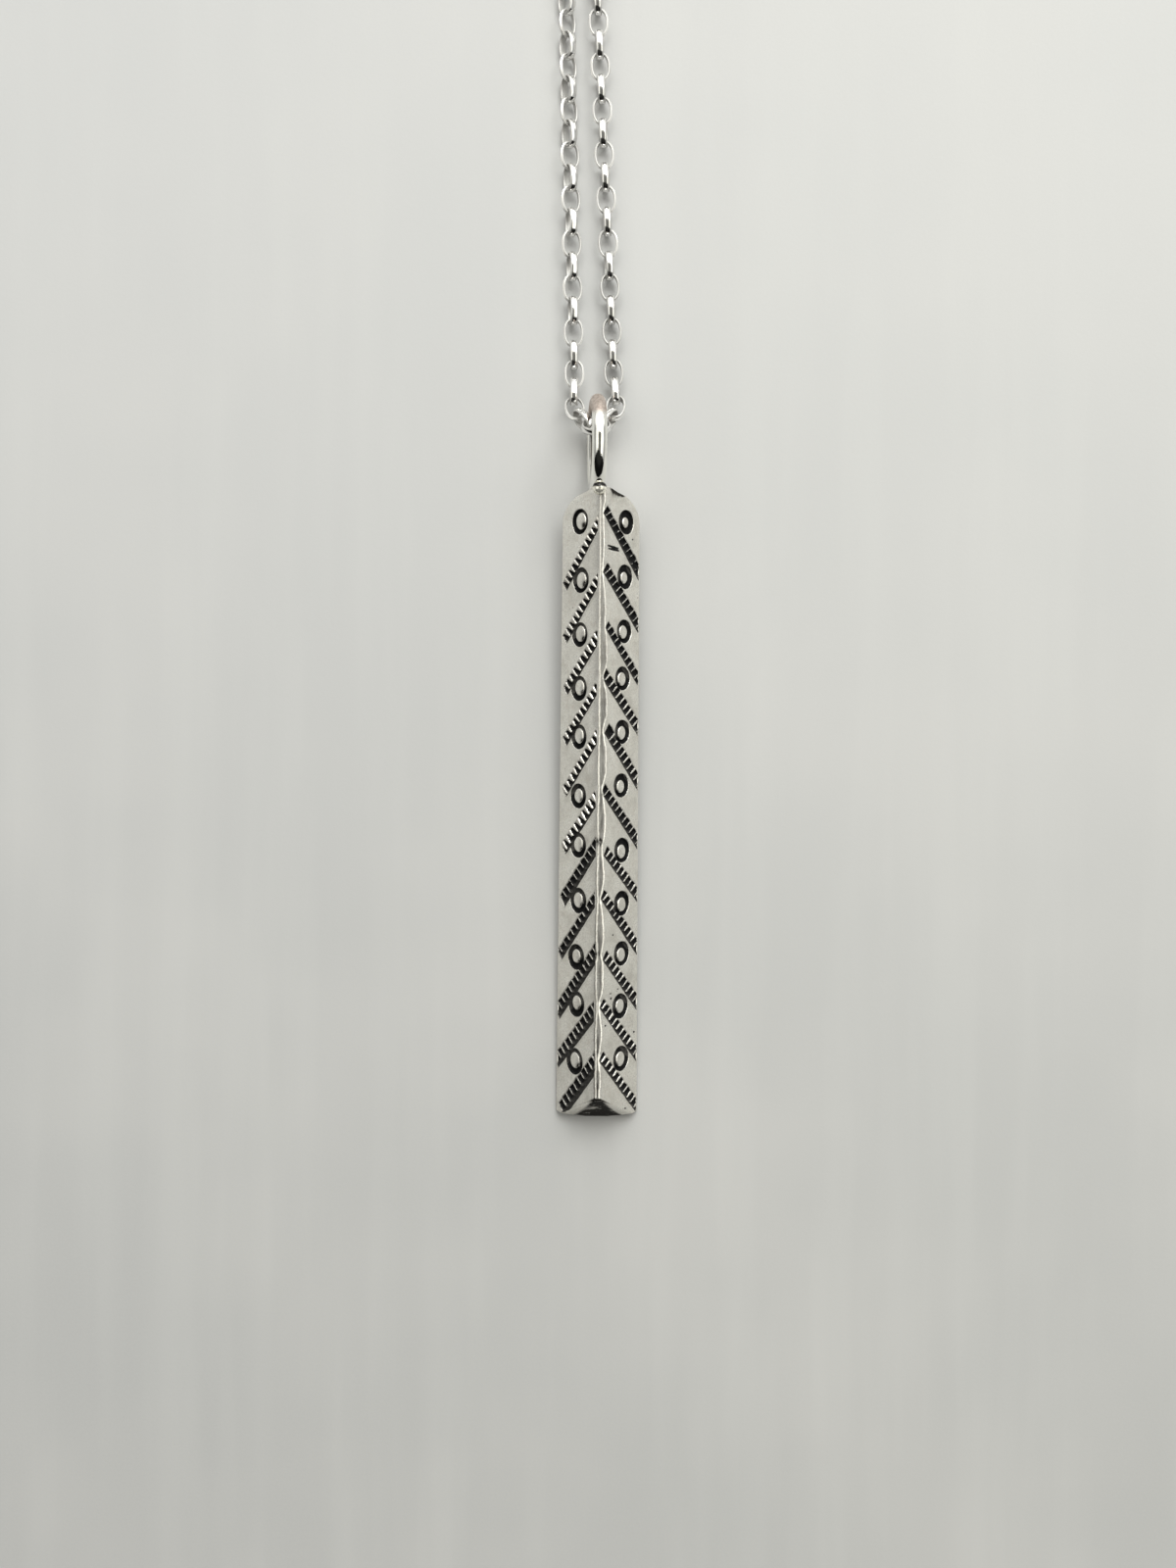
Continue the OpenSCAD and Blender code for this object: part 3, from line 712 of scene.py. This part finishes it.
class HalfBar:
    """One half of the bar, from the middle of its ridge to the middle of its back.

    Both halves are worked out on the right side; the left one is mirrored at the end.
    Its arrays hold a value for each vertex of the face, in rows across the bar.
    """

    def __init__(self, left):
        self.left = left
        self.lay_out()
        self.snap_to_outlines()
        self.raise_face()
        self.cut_triangles()
        self.close_below()

    def lay_out(self):
        """Spread the vertices over the face; a few rounds fit them to both ends' curves."""
        rows = ALONG[:, None]
        y = np.repeat(rows * BAR_L, len(ACROSS), 1)
        for _ in range(5):
            edge = LOW_W / 2 - (LOW_W - TOP_W) / 2 * y / BAR_L
            left_line, right_line = ridge_lines(y)
            mid, crest = (left_line + right_line) / 2, np.maximum((right_line - left_line) / 2, 0.01)
            mid = -mid if self.left else mid
            x = np.where(IS_RIDGE, mid + crest * ACROSS, mid + crest + ACROSS * (edge - mid - crest))
            start, end = low_end(x), chain_end(x, edge)
            y = start + rows * (end - start)
        self.x, self.y, self.edge, self.mid, self.crest = x, y, edge, mid, crest
        self.start, self.end = start, end

    def snap_to_outlines(self):
        """Move vertices close to a stamp's outline onto it, so that the outline is crisp."""
        y, u = self.y, (self.x - RIDGE_W / 2) * DOWN_FACE
        inner = np.zeros(u.shape, bool)
        inner[5:-5, len(ON_RIDGE) + 3:-6] = True

        def distance(u, y):
            return Stamps(u, y, self.left).dist
        dist = distance(u, y)
        grad_u = (distance(u + NUDGE, y) - distance(u - NUDGE, y)) / (2 * NUDGE)
        grad_y = (distance(u, y + NUDGE) - distance(u, y - NUDGE)) / (2 * NUDGE)
        snap = inner & (np.abs(dist) < SNAP)
        self.u = np.where(snap, u - dist * grad_u, u)
        self.y = np.where(snap, y - dist * grad_y, y)
        self.x = np.where(snap, self.u / DOWN_FACE + RIDGE_W / 2, self.x)
        self.stamps = Stamps(self.u, self.y, self.left)
        self.on_outline = snap | (self.stamps.dist == 0)

    def rim_distance(self):
        """Distance to the outer edge or to the chain end, whichever is nearer."""
        x, y = self.x - self.edge + CORNER_R, self.y - BAR_L + CORNER_R
        off = np.minimum(self.edge - self.x, BAR_L - self.y)
        off = np.where((y > 0) & (x > 0), CORNER_R - np.hypot(x, y), off)
        return np.minimum(off, 0.84 * (self.end - self.y))

    def bare_height(self, over, off):
        """Height of the face before it is stamped."""
        left, y = self.left, self.y
        w = (0.018 if left else 0.036) + (0.022 if left else 0.028) * between(y, 40, 25)
        if not left:
            w = w + 0.03 * hump(y, 34, 7) + 0.03 * hump(y, 3.6, 1.1)
        z = BAR_H - FALL * y
        # The ridge's edge is rounded, and the face beyond it settles onto the solid's.
        z = z - SLOPE * np.maximum(over, 0) - SLOPE * w * np.log1p(np.exp(-np.abs(over) / w))
        z += SLOPE * (RIDGE_W / 2 - self.mid - self.crest) * (1 - np.exp(-np.maximum(over, 0) / 0.4))
        z -= 0.008 * np.clip(1 - np.abs(self.x - self.mid) / np.maximum(self.crest, 0.02), 0, 1)
        # The outer edge, the chain end and the lower end are rounded off.
        for r, share, away in ((0.26, 0.5, off), (0.12, 0.4, y - self.start)):
            z -= share * np.clip(r - away, 0, r) ** 2 / r
        return z + 0.006 * wobble(0.7 * self.x, 0.45 * y, 3 if left else 5)

    def raise_face(self):
        """Heights, with the stamps faded out at the ridge and at the outer edge, and the marks, painted
        shade and painted light that darken or grey the surface.
        """
        over = self.x - self.mid - self.crest
        off = self.rim_distance()
        z = self.bare_height(over, off)
        fade = np.clip(over / 0.1 + 0.5, 0, 1) * np.clip(off / 0.12, 0, 1)
        h = self.stamps.relief() * fade
        x = np.where(IS_RIDGE, self.x, self.x + h * SLOPE / DOWN_FACE)
        z = z + h / DOWN_FACE
        self.points = np.column_stack([x.ravel(), self.y.ravel(), z.ravel()])
        self.fade = fade.ravel()
        self.marks_and_painted_light = np.where(self.stamps.dist > 0, self.marks_and_painted_shade(over), self.stamps.greying)

    def marks_and_painted_shade(self, over):
        """How dark the bright metal is made, over being the distance beyond the ridge's edge: dark marks and
        grime, with painted shade and painted reflection.
        """
        x, y, left = self.x, self.y, self.left
        lip = (0.028 if left else 0.045) + (0.024 if left else 0.04) * between(y, 40, 25)
        # Painted dark reflection along the ridge's flat middle.
        middle = (0.68 + 0.12 * between(y, 40, 34)) * np.clip((-over - lip) / 0.04, 0, 1)
        # Black along the face's lower end, most towards the middle.
        low = 1.5 * np.clip((1.3 if left else 1.9) - 1.6 * x, 0, 1)
        low = low * hump(np.maximum(y - self.start, 0), 0, 0.09)
        # Painted shadow in a soft line just beyond the ridge's edge, strongest on the left.
        shade_beside = (0.25 + 0.5 * between(y, 38, 32) if left else 0.06) * hump(over, 0.09, 0.045)
        dark = self.stamps.grime_and_painted_reflection + middle + low + shade_beside
        return dark + (self.left_marks_and_shade(over) if left else self.right_marks_and_shade(over))

    def left_marks_and_shade(self, over):
        x, y = self.x, self.y
        # Painted shadow in a soft line beyond the ridge's edge in the lower part, and painted shade
        # darkening the face towards the lower end; the stamps' outlines there are darker too.
        dark = 0.22 * between(y, 27, 13) * hump(over, 0.12, 0.1)
        dark += 0.2 * between(y, 16, 0) + 0.45 * hump(self.stamps.dist, 0, 0.07) * between(y, 20, 15)
        dark += 0.9 * hump(x, 0.0, 0.45) * hump(y, 22.85, 0.28)
        return dark + 0.5 * hump(x, 0.1, 0.35) * hump(y, 13.9, 0.25)

    def right_marks_and_shade(self, over):
        """With a black wedge below the chain end, to the right of the ridge."""
        x, y, below = self.x, self.y, self.end - self.y
        # Painted shadow in a soft band beyond the ridge's edge near the chain end.
        dark = 0.2 * hump(over, 0.3, 0.14) * between(y, 41, 44)
        wedge = 1.15 * np.clip(1.25 - below / np.maximum(0.66 * (2.0 - x), 0.05), 0, 1)
        wedge = wedge + 1.6 * hump(np.maximum(below - 0.03, 0), 0, 0.16)
        dark += wedge * np.clip((x - 0.6) / 0.3, 0, 1) * np.clip((1.95 - x) / 0.3, 0, 1)
        dark += 0.6 * hump(x, 0.15, 0.2) * hump(y, 22.85, 0.2)
        return dark + 0.25 * hump(x, 1.1, 0.3) * hump(y, 10.4, 0.5)

    def cut_triangles(self):
        """Cut each square of the face in two, along the stamps' outlines where they cross it."""
        rows, columns = self.x.shape
        self.grid = grid = np.arange(rows * columns).reshape(rows, columns)
        a, b, c, d = grid[:-1, :-1], grid[:-1, 1:], grid[1:, 1:], grid[1:, :-1]
        on = self.on_outline.ravel()
        odd = np.add.outer(np.arange(rows - 1), np.arange(columns - 1)) % 2 == 1
        odd[:, :len(ON_RIDGE) + 5] = False
        from_b = (((on[b] & on[d]) | odd) & ~(on[a] & on[c]))[..., None]
        first = np.where(from_b, np.stack([a, b, d], -1), np.stack([a, b, c], -1))
        second = np.where(from_b, np.stack([b, c, d], -1), np.stack([a, c, d], -1))
        self.triangles = tris = np.concatenate([first.reshape(-1, 3), second.reshape(-1, 3)])
        u, y = self.u.ravel()[tris].mean(1), self.y.ravel()[tris].mean(1)
        self.dark = (Stamps(u, y, self.left).dist < 0) & (self.fade[tris].mean(1) > 0.35)

    def close_below(self):
        """Add the walls, in steps from the rim down to the back, and the back itself."""
        grid = self.grid
        below = rim = np.concatenate([grid[0, :], grid[1:, -1], grid[-1, -2::-1]])
        low = np.arange(len(rim)) < grid.shape[1]
        x, y, z = self.points[rim].T
        bow = LOW_BOW * (x / (LOW_W / 2)) ** 2
        past = np.where(~low, np.maximum(y - BAR_L + CORNER_R, 0), 0) / CORNER_R
        points, marks_and_painted_light = [self.points], [self.marks_and_painted_light.ravel()]
        faces = [tuple(t) for t in self.triangles]
        for share in WALL_SHARES:
            inset = 0 if share else FOOT
            height = z * share if share > 0.1 else np.full(len(z), FOOT_H if share else 0.0)
            along = np.where(low, np.maximum(bow, height * BEVEL_TAN) + inset, y - inset * past)
            across = np.where(low, np.minimum(x, LOW_W / 2 - inset), x - inset * (x > 0.6))
            points.append(np.column_stack([across, along, height]))
            off = -across if self.left else across
            marks_and_painted_light.append(np.where(low, end_black(share, off, self.left), 0))
            ring = np.arange(len(rim)) + sum(map(len, points[:-1]))
            faces += [tuple(q) for q in np.column_stack([below[:-1], ring[:-1], ring[1:], below[1:]])]
            below = ring
        faces.append(tuple(below[::-1]))
        self.points, self.marks_and_painted_light, self.faces = np.concatenate(points), np.concatenate(marks_and_painted_light), faces


def half_bar(left):
    """Make one half into an object; mirroring the left one turns its faces round."""
    half = HalfBar(left)
    points, faces = half.points, half.faces
    slots = np.zeros(len(faces), int)
    slots[:len(half.dark)] = half.dark
    if left:
        points = points * (-1, 1, 1)
        faces = [f[::-1] for f in faces]
    ob = mesh_object("bar_left" if left else "bar_right", from_bar(points), faces, [SATIN, OXIDE], slots)
    marks_and_painted_light = ob.data.attributes.new("marks_and_painted_light", "FLOAT", "POINT")
    marks_and_painted_light.data.foreach_set("value", half.marks_and_painted_light.astype(np.float32))
    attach(ob, "root")
    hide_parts("pendant")


half_bar(True)
half_bar(False)


# Bail ring and bead
def torus(mid_r, wire_r, segments, sides, swell=None):
    """Vertices and faces of a wire ring about the X axis; swell makes its wire uneven."""
    verts, faces = [], []
    for i in range(segments):
        a = 2 * math.pi * i / segments
        w = wire_r * (1 + (swell(a) if swell else 0))
        for j in range(sides):
            b = 2 * math.pi * j / sides
            r = mid_r + w * math.cos(b)
            verts.append((w * math.sin(b), r * math.sin(a), r * math.cos(a)))
            i_next, j_next = (i + 1) % segments, (j + 1) % sides
            faces.append((i * sides + j, i * sides + j_next, i_next * sides + j_next, i_next * sides + j))
    return np.array(verts), faces


def ring_swell(a):
    """The handmade unevenness of the ring's wire."""
    return 0.012 * math.sin(3 * a) + 0.008 * math.sin(7 * a)


def bail():
    v, faces = torus(BAIL_R, BAIL_WIRE / 2, segments=160, sides=40, swell=ring_swell)
    c, s = cos(BAIL_ROLL), sin(BAIL_ROLL)
    v = np.column_stack([v[:, 0] * c + v[:, 2] * s, v[:, 1], v[:, 2] * c - v[:, 0] * s])
    v += (BAIL_X, BAIL_Y, BAIL_UP)
    ob = mesh_object("bail_ring", from_bar(v), faces, [RING])
    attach(ob, "root")
    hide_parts("pendant")


BEAD_AT = (BAIL_X / 2 + 0.03, BAR_L + 0.05, TOP_H + 0.11)
BEAD_R = 0.54
BEAD_WIDE, BEAD_LONG, BEAD_SHORT = 1.03, 1.05, 0.95  # stretch across, along, and of its lower half


def bead():
    """The solder bead where the ring meets the ridge: an uneven ball."""
    segments, rings = 40, 24
    verts, faces = [], []
    for j in range(rings + 1):
        t = math.pi * j / rings
        for i in range(segments):
            a = 2 * math.pi * i / segments
            k = 1 + 0.03 * math.sin(3 * a + 1) * math.sin(t)
            x, y = math.sin(t) * math.cos(a) * BEAD_WIDE * k, math.sin(t) * math.sin(a) * BEAD_LONG * k
            verts.append((x, y * (1 if y > 0 else BEAD_SHORT), math.cos(t)))
    for j in range(rings):
        for i in range(segments):
            here, below, i_next = j * segments, (j + 1) * segments, (i + 1) % segments
            faces.append((here + i, below + i, below + i_next, here + i_next))
    ob = mesh_object("bead", from_bar(np.array(verts) * BEAD_R + BEAD_AT), faces, [SOLDER])
    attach(ob, "root")
    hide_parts("pendant")


bail()
bead()


# Chain
UPRIGHT = 90  # roll of every second link
RING_LINK_LEAN = 42  # lean of the link in the ring
FIRST_LINKS = 9  # the links in the ring and to its right have no random roll and a full band
LOW_BAND = 0.56  # share of the band's width on the other lying links
LOOSE = 2.0  # typical random roll
LINK_POWER = 2.25  # roundness of a link in plan; an ellipse has 2
LINK_SEGMENTS = 36
POLISHED = (3, 4, 5)  # the middle of the band's outside, of the ten sides round its profile


def link_shape(w):
    """One oval link of flat band with a domed outside, lying flat, length along X."""
    verts, faces = [], []
    t = BAND_T - 0.02
    half = [(-t / 2, w / 2 - 0.05), (-t / 2 + 0.03, w / 2), (t / 2 - 0.07, w / 2 - 0.01),
            (t / 2 - 0.015, w / 2 - 0.12), (t / 2, w / 6)]
    profile = [(out, -up) for out, up in half] + half[::-1]
    a, b = LINK_L / 2 - t / 2 - 0.005, LINK_W / 2 - t / 2 - 0.005
    n = len(profile)
    for i in range(LINK_SEGMENTS):
        turn = 2 * math.pi * i / LINK_SEGMENTS
        cx, cy = math.cos(turn), math.sin(turn)
        x = a * math.copysign(abs(cx) ** (2 / LINK_POWER), cx)
        y = b * math.copysign(abs(cy) ** (2 / LINK_POWER), cy)
        out_x = abs(x / a) ** (LINK_POWER - 1) * math.copysign(1, cx) / a
        out_y = abs(y / b) ** (LINK_POWER - 1) * math.copysign(1, cy) / b
        length = math.hypot(out_x, out_y)
        out_x, out_y = out_x / length, out_y / length
        verts += [(x + out_x * out, y + out_y * out, up) for out, up in profile]
        here, after = i * n, (i + 1) % LINK_SEGMENTS * n
        for j in range(n):
            j_next = (j + 1) % n
            faces.append((here + j, after + j, after + j_next, here + j_next))
    slots = [0 if j in POLISHED else 1 for j in range(n)] * LINK_SEGMENTS
    return np.array(verts), faces, slots


def heading(turn, down):
    """The direction of a link from its turn away from the middle line and its fall."""
    return np.array([sin(turn) * cos(down), cos(turn) * cos(down), -sin(down)])


def pins(fall):
    """The five pins of the four links on one side that come down from the ring to the surface."""
    p = [RING_PIN]
    for i, (turn, down) in enumerate(fall):
        p.append(p[-1] + (NEAR_SPAN if i == 1 else PIN_SPAN) * heading(turn, down))
    down = math.degrees(math.asin((p[3][2] - LINK_W / 2) / NEAR_SPAN))
    return p + [p[3] + NEAR_SPAN * heading(-1, down)]


def route(start, s):
    """Across, along and heading of a strand, at a length s from where it reaches the surface."""
    run = math.hypot(start[0] - OUT_X, start[1] - OUT_Y)
    if s < run:
        return (start[0] + s / run * (OUT_X - start[0]), start[1] + s / run * (OUT_Y - start[1]),
                math.degrees(math.atan2(OUT_X - start[0], OUT_Y - start[1])))
    if s < run + FLARE_L:
        h = math.degrees((s - run) / FLARE_R) - CONVERGE
        return OUT_X + FLARE_R * (cos(CONVERGE) - cos(h)), OUT_Y + FLARE_R * (sin(h) + sin(CONVERGE)), h
    h = FLARE_DEG - math.degrees((s - run - FLARE_L) / WIDE_R)
    return LAST_X + WIDE_R * cos(h), WIDE_Y - WIDE_R * sin(h), h


def strand(side, start):
    """Middle, direction, up and roll of the links that lie on the surface on one side."""
    total = math.hypot(start[0] - OUT_X, start[1] - OUT_Y) + FLARE_L + WIDE_L - PIN_SPAN / 2
    steps = 2 * round(total / LINK_PITCH / 2)
    for i in range(steps + 1):
        x, y, h = route(start, PIN_SPAN / 2 + i * total / steps)
        t = i / steps
        # The left strand rolls over soon after the ring and back before the clasp.
        roll = 0 if side > 0 else LEFT_ROLL * min(1, 8 * t, 8 - 8 * t)
        up = LINK_W / 2 * cos(roll) + BAND_W / 2 * sin(roll)
        here = loop_point(side * x, y, up)
        ahead = loop_point(side * (x + sin(h)), y + cos(h), up)
        yield here, ahead - here, (0, 0, 1), roll + (UPRIGHT if i % 2 == 0 else 0)


def link_places():
    """Middle, direction, up and roll of every link, the one in the ring first."""
    lean = (0, sin(RING_LINK_LEAN), cos(RING_LINK_LEAN))
    places = [(loop_point(0, *RING_PIN[1:]), (1, 0, 0), lean, 0)]
    for side, fall in ((1, RIGHT_FALL), (-1, LEFT_FALL)):
        p = pins(fall)
        for i, (a, b) in enumerate(zip(p, p[1:])):
            here, ahead = loop_point(side * a[0], a[1], a[2]), loop_point(side * b[0], b[1], b[2])
            down = math.atan2(a[2] - b[2], b[1] - a[1])
            places.append(((here + ahead) / 2, ahead - here, (0, math.sin(down), math.cos(down)),
                           UPRIGHT if i % 2 == 0 else 0))
        places += strand(side, p[4])
    return places


def chain():
    standing, quads, slots = link_shape(BAND_W)
    lying = link_shape(LOW_BAND * BAND_W)[0]
    verts, faces = [], []
    rng = np.random.default_rng(3)
    for k, (middle, along, up, roll) in enumerate(link_places()):
        loose = k >= FIRST_LINKS
        shape = lying if loose and roll < UPRIGHT else standing
        x = unit(along)
        z = np.array(up, float)
        z = unit(z - z.dot(x) * x)
        y = np.cross(z, x)
        roll = math.radians(roll + (rng.normal(0, LOOSE) if loose else 0))
        c, s = math.cos(roll), math.sin(roll)
        verts.append(shape @ np.array([x, y * c + z * s, z * c - y * s]) + middle + SHIFT)
        faces += [tuple(i + k * len(shape) for i in q) for q in quads]
    verts, slots = np.concatenate(verts) / 1000, slots * len(verts)
    ob = mesh_object("chain_links", verts, faces, [LINKS, LINK_EDGES], slots)
    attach(ob, "root")
    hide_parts("chain")


def clasp():
    """A plain closed ring and its small fixed eye, lying flat at the loop's far end."""
    verts, faces, count = [], [], 0
    for r, wire_r, off in ((CLASP_D / 2, CLASP_WIRE / 2, 0), (EYE_D / 2, EYE_WIRE / 2, EYE_OFF)):
        v, quads = torus(r, wire_r, segments=96, sides=24)
        verts.append(np.column_stack([v[:, 2] + CLASP_D / 2 - CLASP_HALF + off, v[:, 1], -v[:, 0]]))
        faces += [tuple(i + count for i in q) for q in quads]
        count += len(v)
    v = np.concatenate(verts)
    c, s = cos(LOOP_LEAN), sin(LOOP_LEAN)
    v = np.column_stack([v[:, 0] * c - v[:, 1] * s, v[:, 0] * s + v[:, 1] * c, v[:, 2]])
    v += loop_point(0, WIDE_Y + WIDE_R, LINK_W / 2) + SHIFT
    ob = mesh_object("clasp_ring", v / 1000, faces, [BRIGHT])
    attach(ob, "root")
    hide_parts("clasp")


chain()
clasp()


# Floor
FLOOR_HALF, FLOOR_GAP = 4.0, 0.00003  # metres


def floor():
    """The pale surface that the necklace lies on, a hair below it."""
    e = FLOOR_HALF
    ob = mesh_object("floor", [(-e, -e, 0), (e, -e, 0), (e, e, 0), (-e, e, 0)], [(0, 1, 2, 3)],
                     [floor_paper()], smooth=False)
    ob.location.z = -FLOOR_GAP


floor()


# Light
def room():
    """A bright room all round, dark where the photographer stood, but plain to the camera."""
    world = bpy.data.worlds.new("room")
    bpy.context.scene.world = world
    world.use_nodes = True
    n = Nodes(world.node_tree)
    direction = n.add("ShaderNodeTexCoord").outputs["Generated"]
    x, y, z = n.add("ShaderNodeSeparateXYZ", {"Vector": direction}).outputs
    low_light, warm_light = (1.0, 1.0, 0.965), (1.0, 0.985, 0.90)
    backdrop = (0.78, 0.78, 0.76, 1)
    # Dark are the photographer, who leans, and a strip overhead.
    aslant = n.times(n.math("MINIMUM", n.math("MAXIMUM", x, -0.08), 0.25), 0.45)
    person = n.span(n.plus(y, aslant), -0.31, -0.42)
    strip = n.times(n.span(n.math("ABSOLUTE", x), 0.37, 0.30), n.span(z, 0.76, 0.84))
    strip = n.times(strip, n.span(y, 0.34, 0.26))
    dark = n.math("MAXIMUM", n.times(person, 0.985), n.times(strip, 0.88))
    # The room is brighter overhead, to the right and towards the window.
    window = n.times(n.span(y, 0.35, 0.6), n.span(z, 0.02, 0.15))
    level = n.plus(n.span(z, 0.0, 0.2, 0.4, 0.6), n.span(z, 0.36, 0.72, 0.0, 1.7))
    level = n.plus(level, n.times(window, 1.5))
    level = n.times(n.span(x, -1.0, 1.0, 0.56, 0.71), level)
    level = n.times(level, n.math("SUBTRACT", 1.0, dark))
    tint = n.mix(n.span(z, 0.5, 0.8), low_light, warm_light)
    light = n.add("ShaderNodeBackground", {"Color": tint, "Strength": level}).outputs[0]
    plain = n.add("ShaderNodeBackground", {"Color": backdrop, "Strength": 1.0}).outputs[0]
    seen = n.add("ShaderNodeLightPath").outputs["Is Camera Ray"]
    mix = n.add("ShaderNodeMixShader", {0: seen, 1: light, 2: plain})
    n.tree.links.new(mix.outputs[0], n.add("ShaderNodeOutputWorld").inputs[0])


LAMP_AT = np.array([0.1, 0.28, 0.42])
LAMP_AIM = np.array([0, -0.07, 0])
LAMP_SIZE = (0.5, 0.3)
LAMP_WATTS = 2.45


def window():
    """The window's soft light, from above and beyond the chain."""
    lamp = bpy.data.lights.new("window", "AREA")
    lamp.shape = "RECTANGLE"
    lamp.size, lamp.size_y = LAMP_SIZE
    lamp.energy = LAMP_WATTS
    lamp.color = (0.99, 1.0, 0.98)
    ob = bpy.data.objects.new("window", lamp)
    bpy.context.scene.collection.objects.link(ob)
    ob.location = LAMP_AT
    x, y, z = LAMP_AIM - LAMP_AT
    ob.rotation_euler = (math.atan2(math.hypot(x, y), -z), 0, math.atan2(y, x) - math.pi / 2)


room()
window()
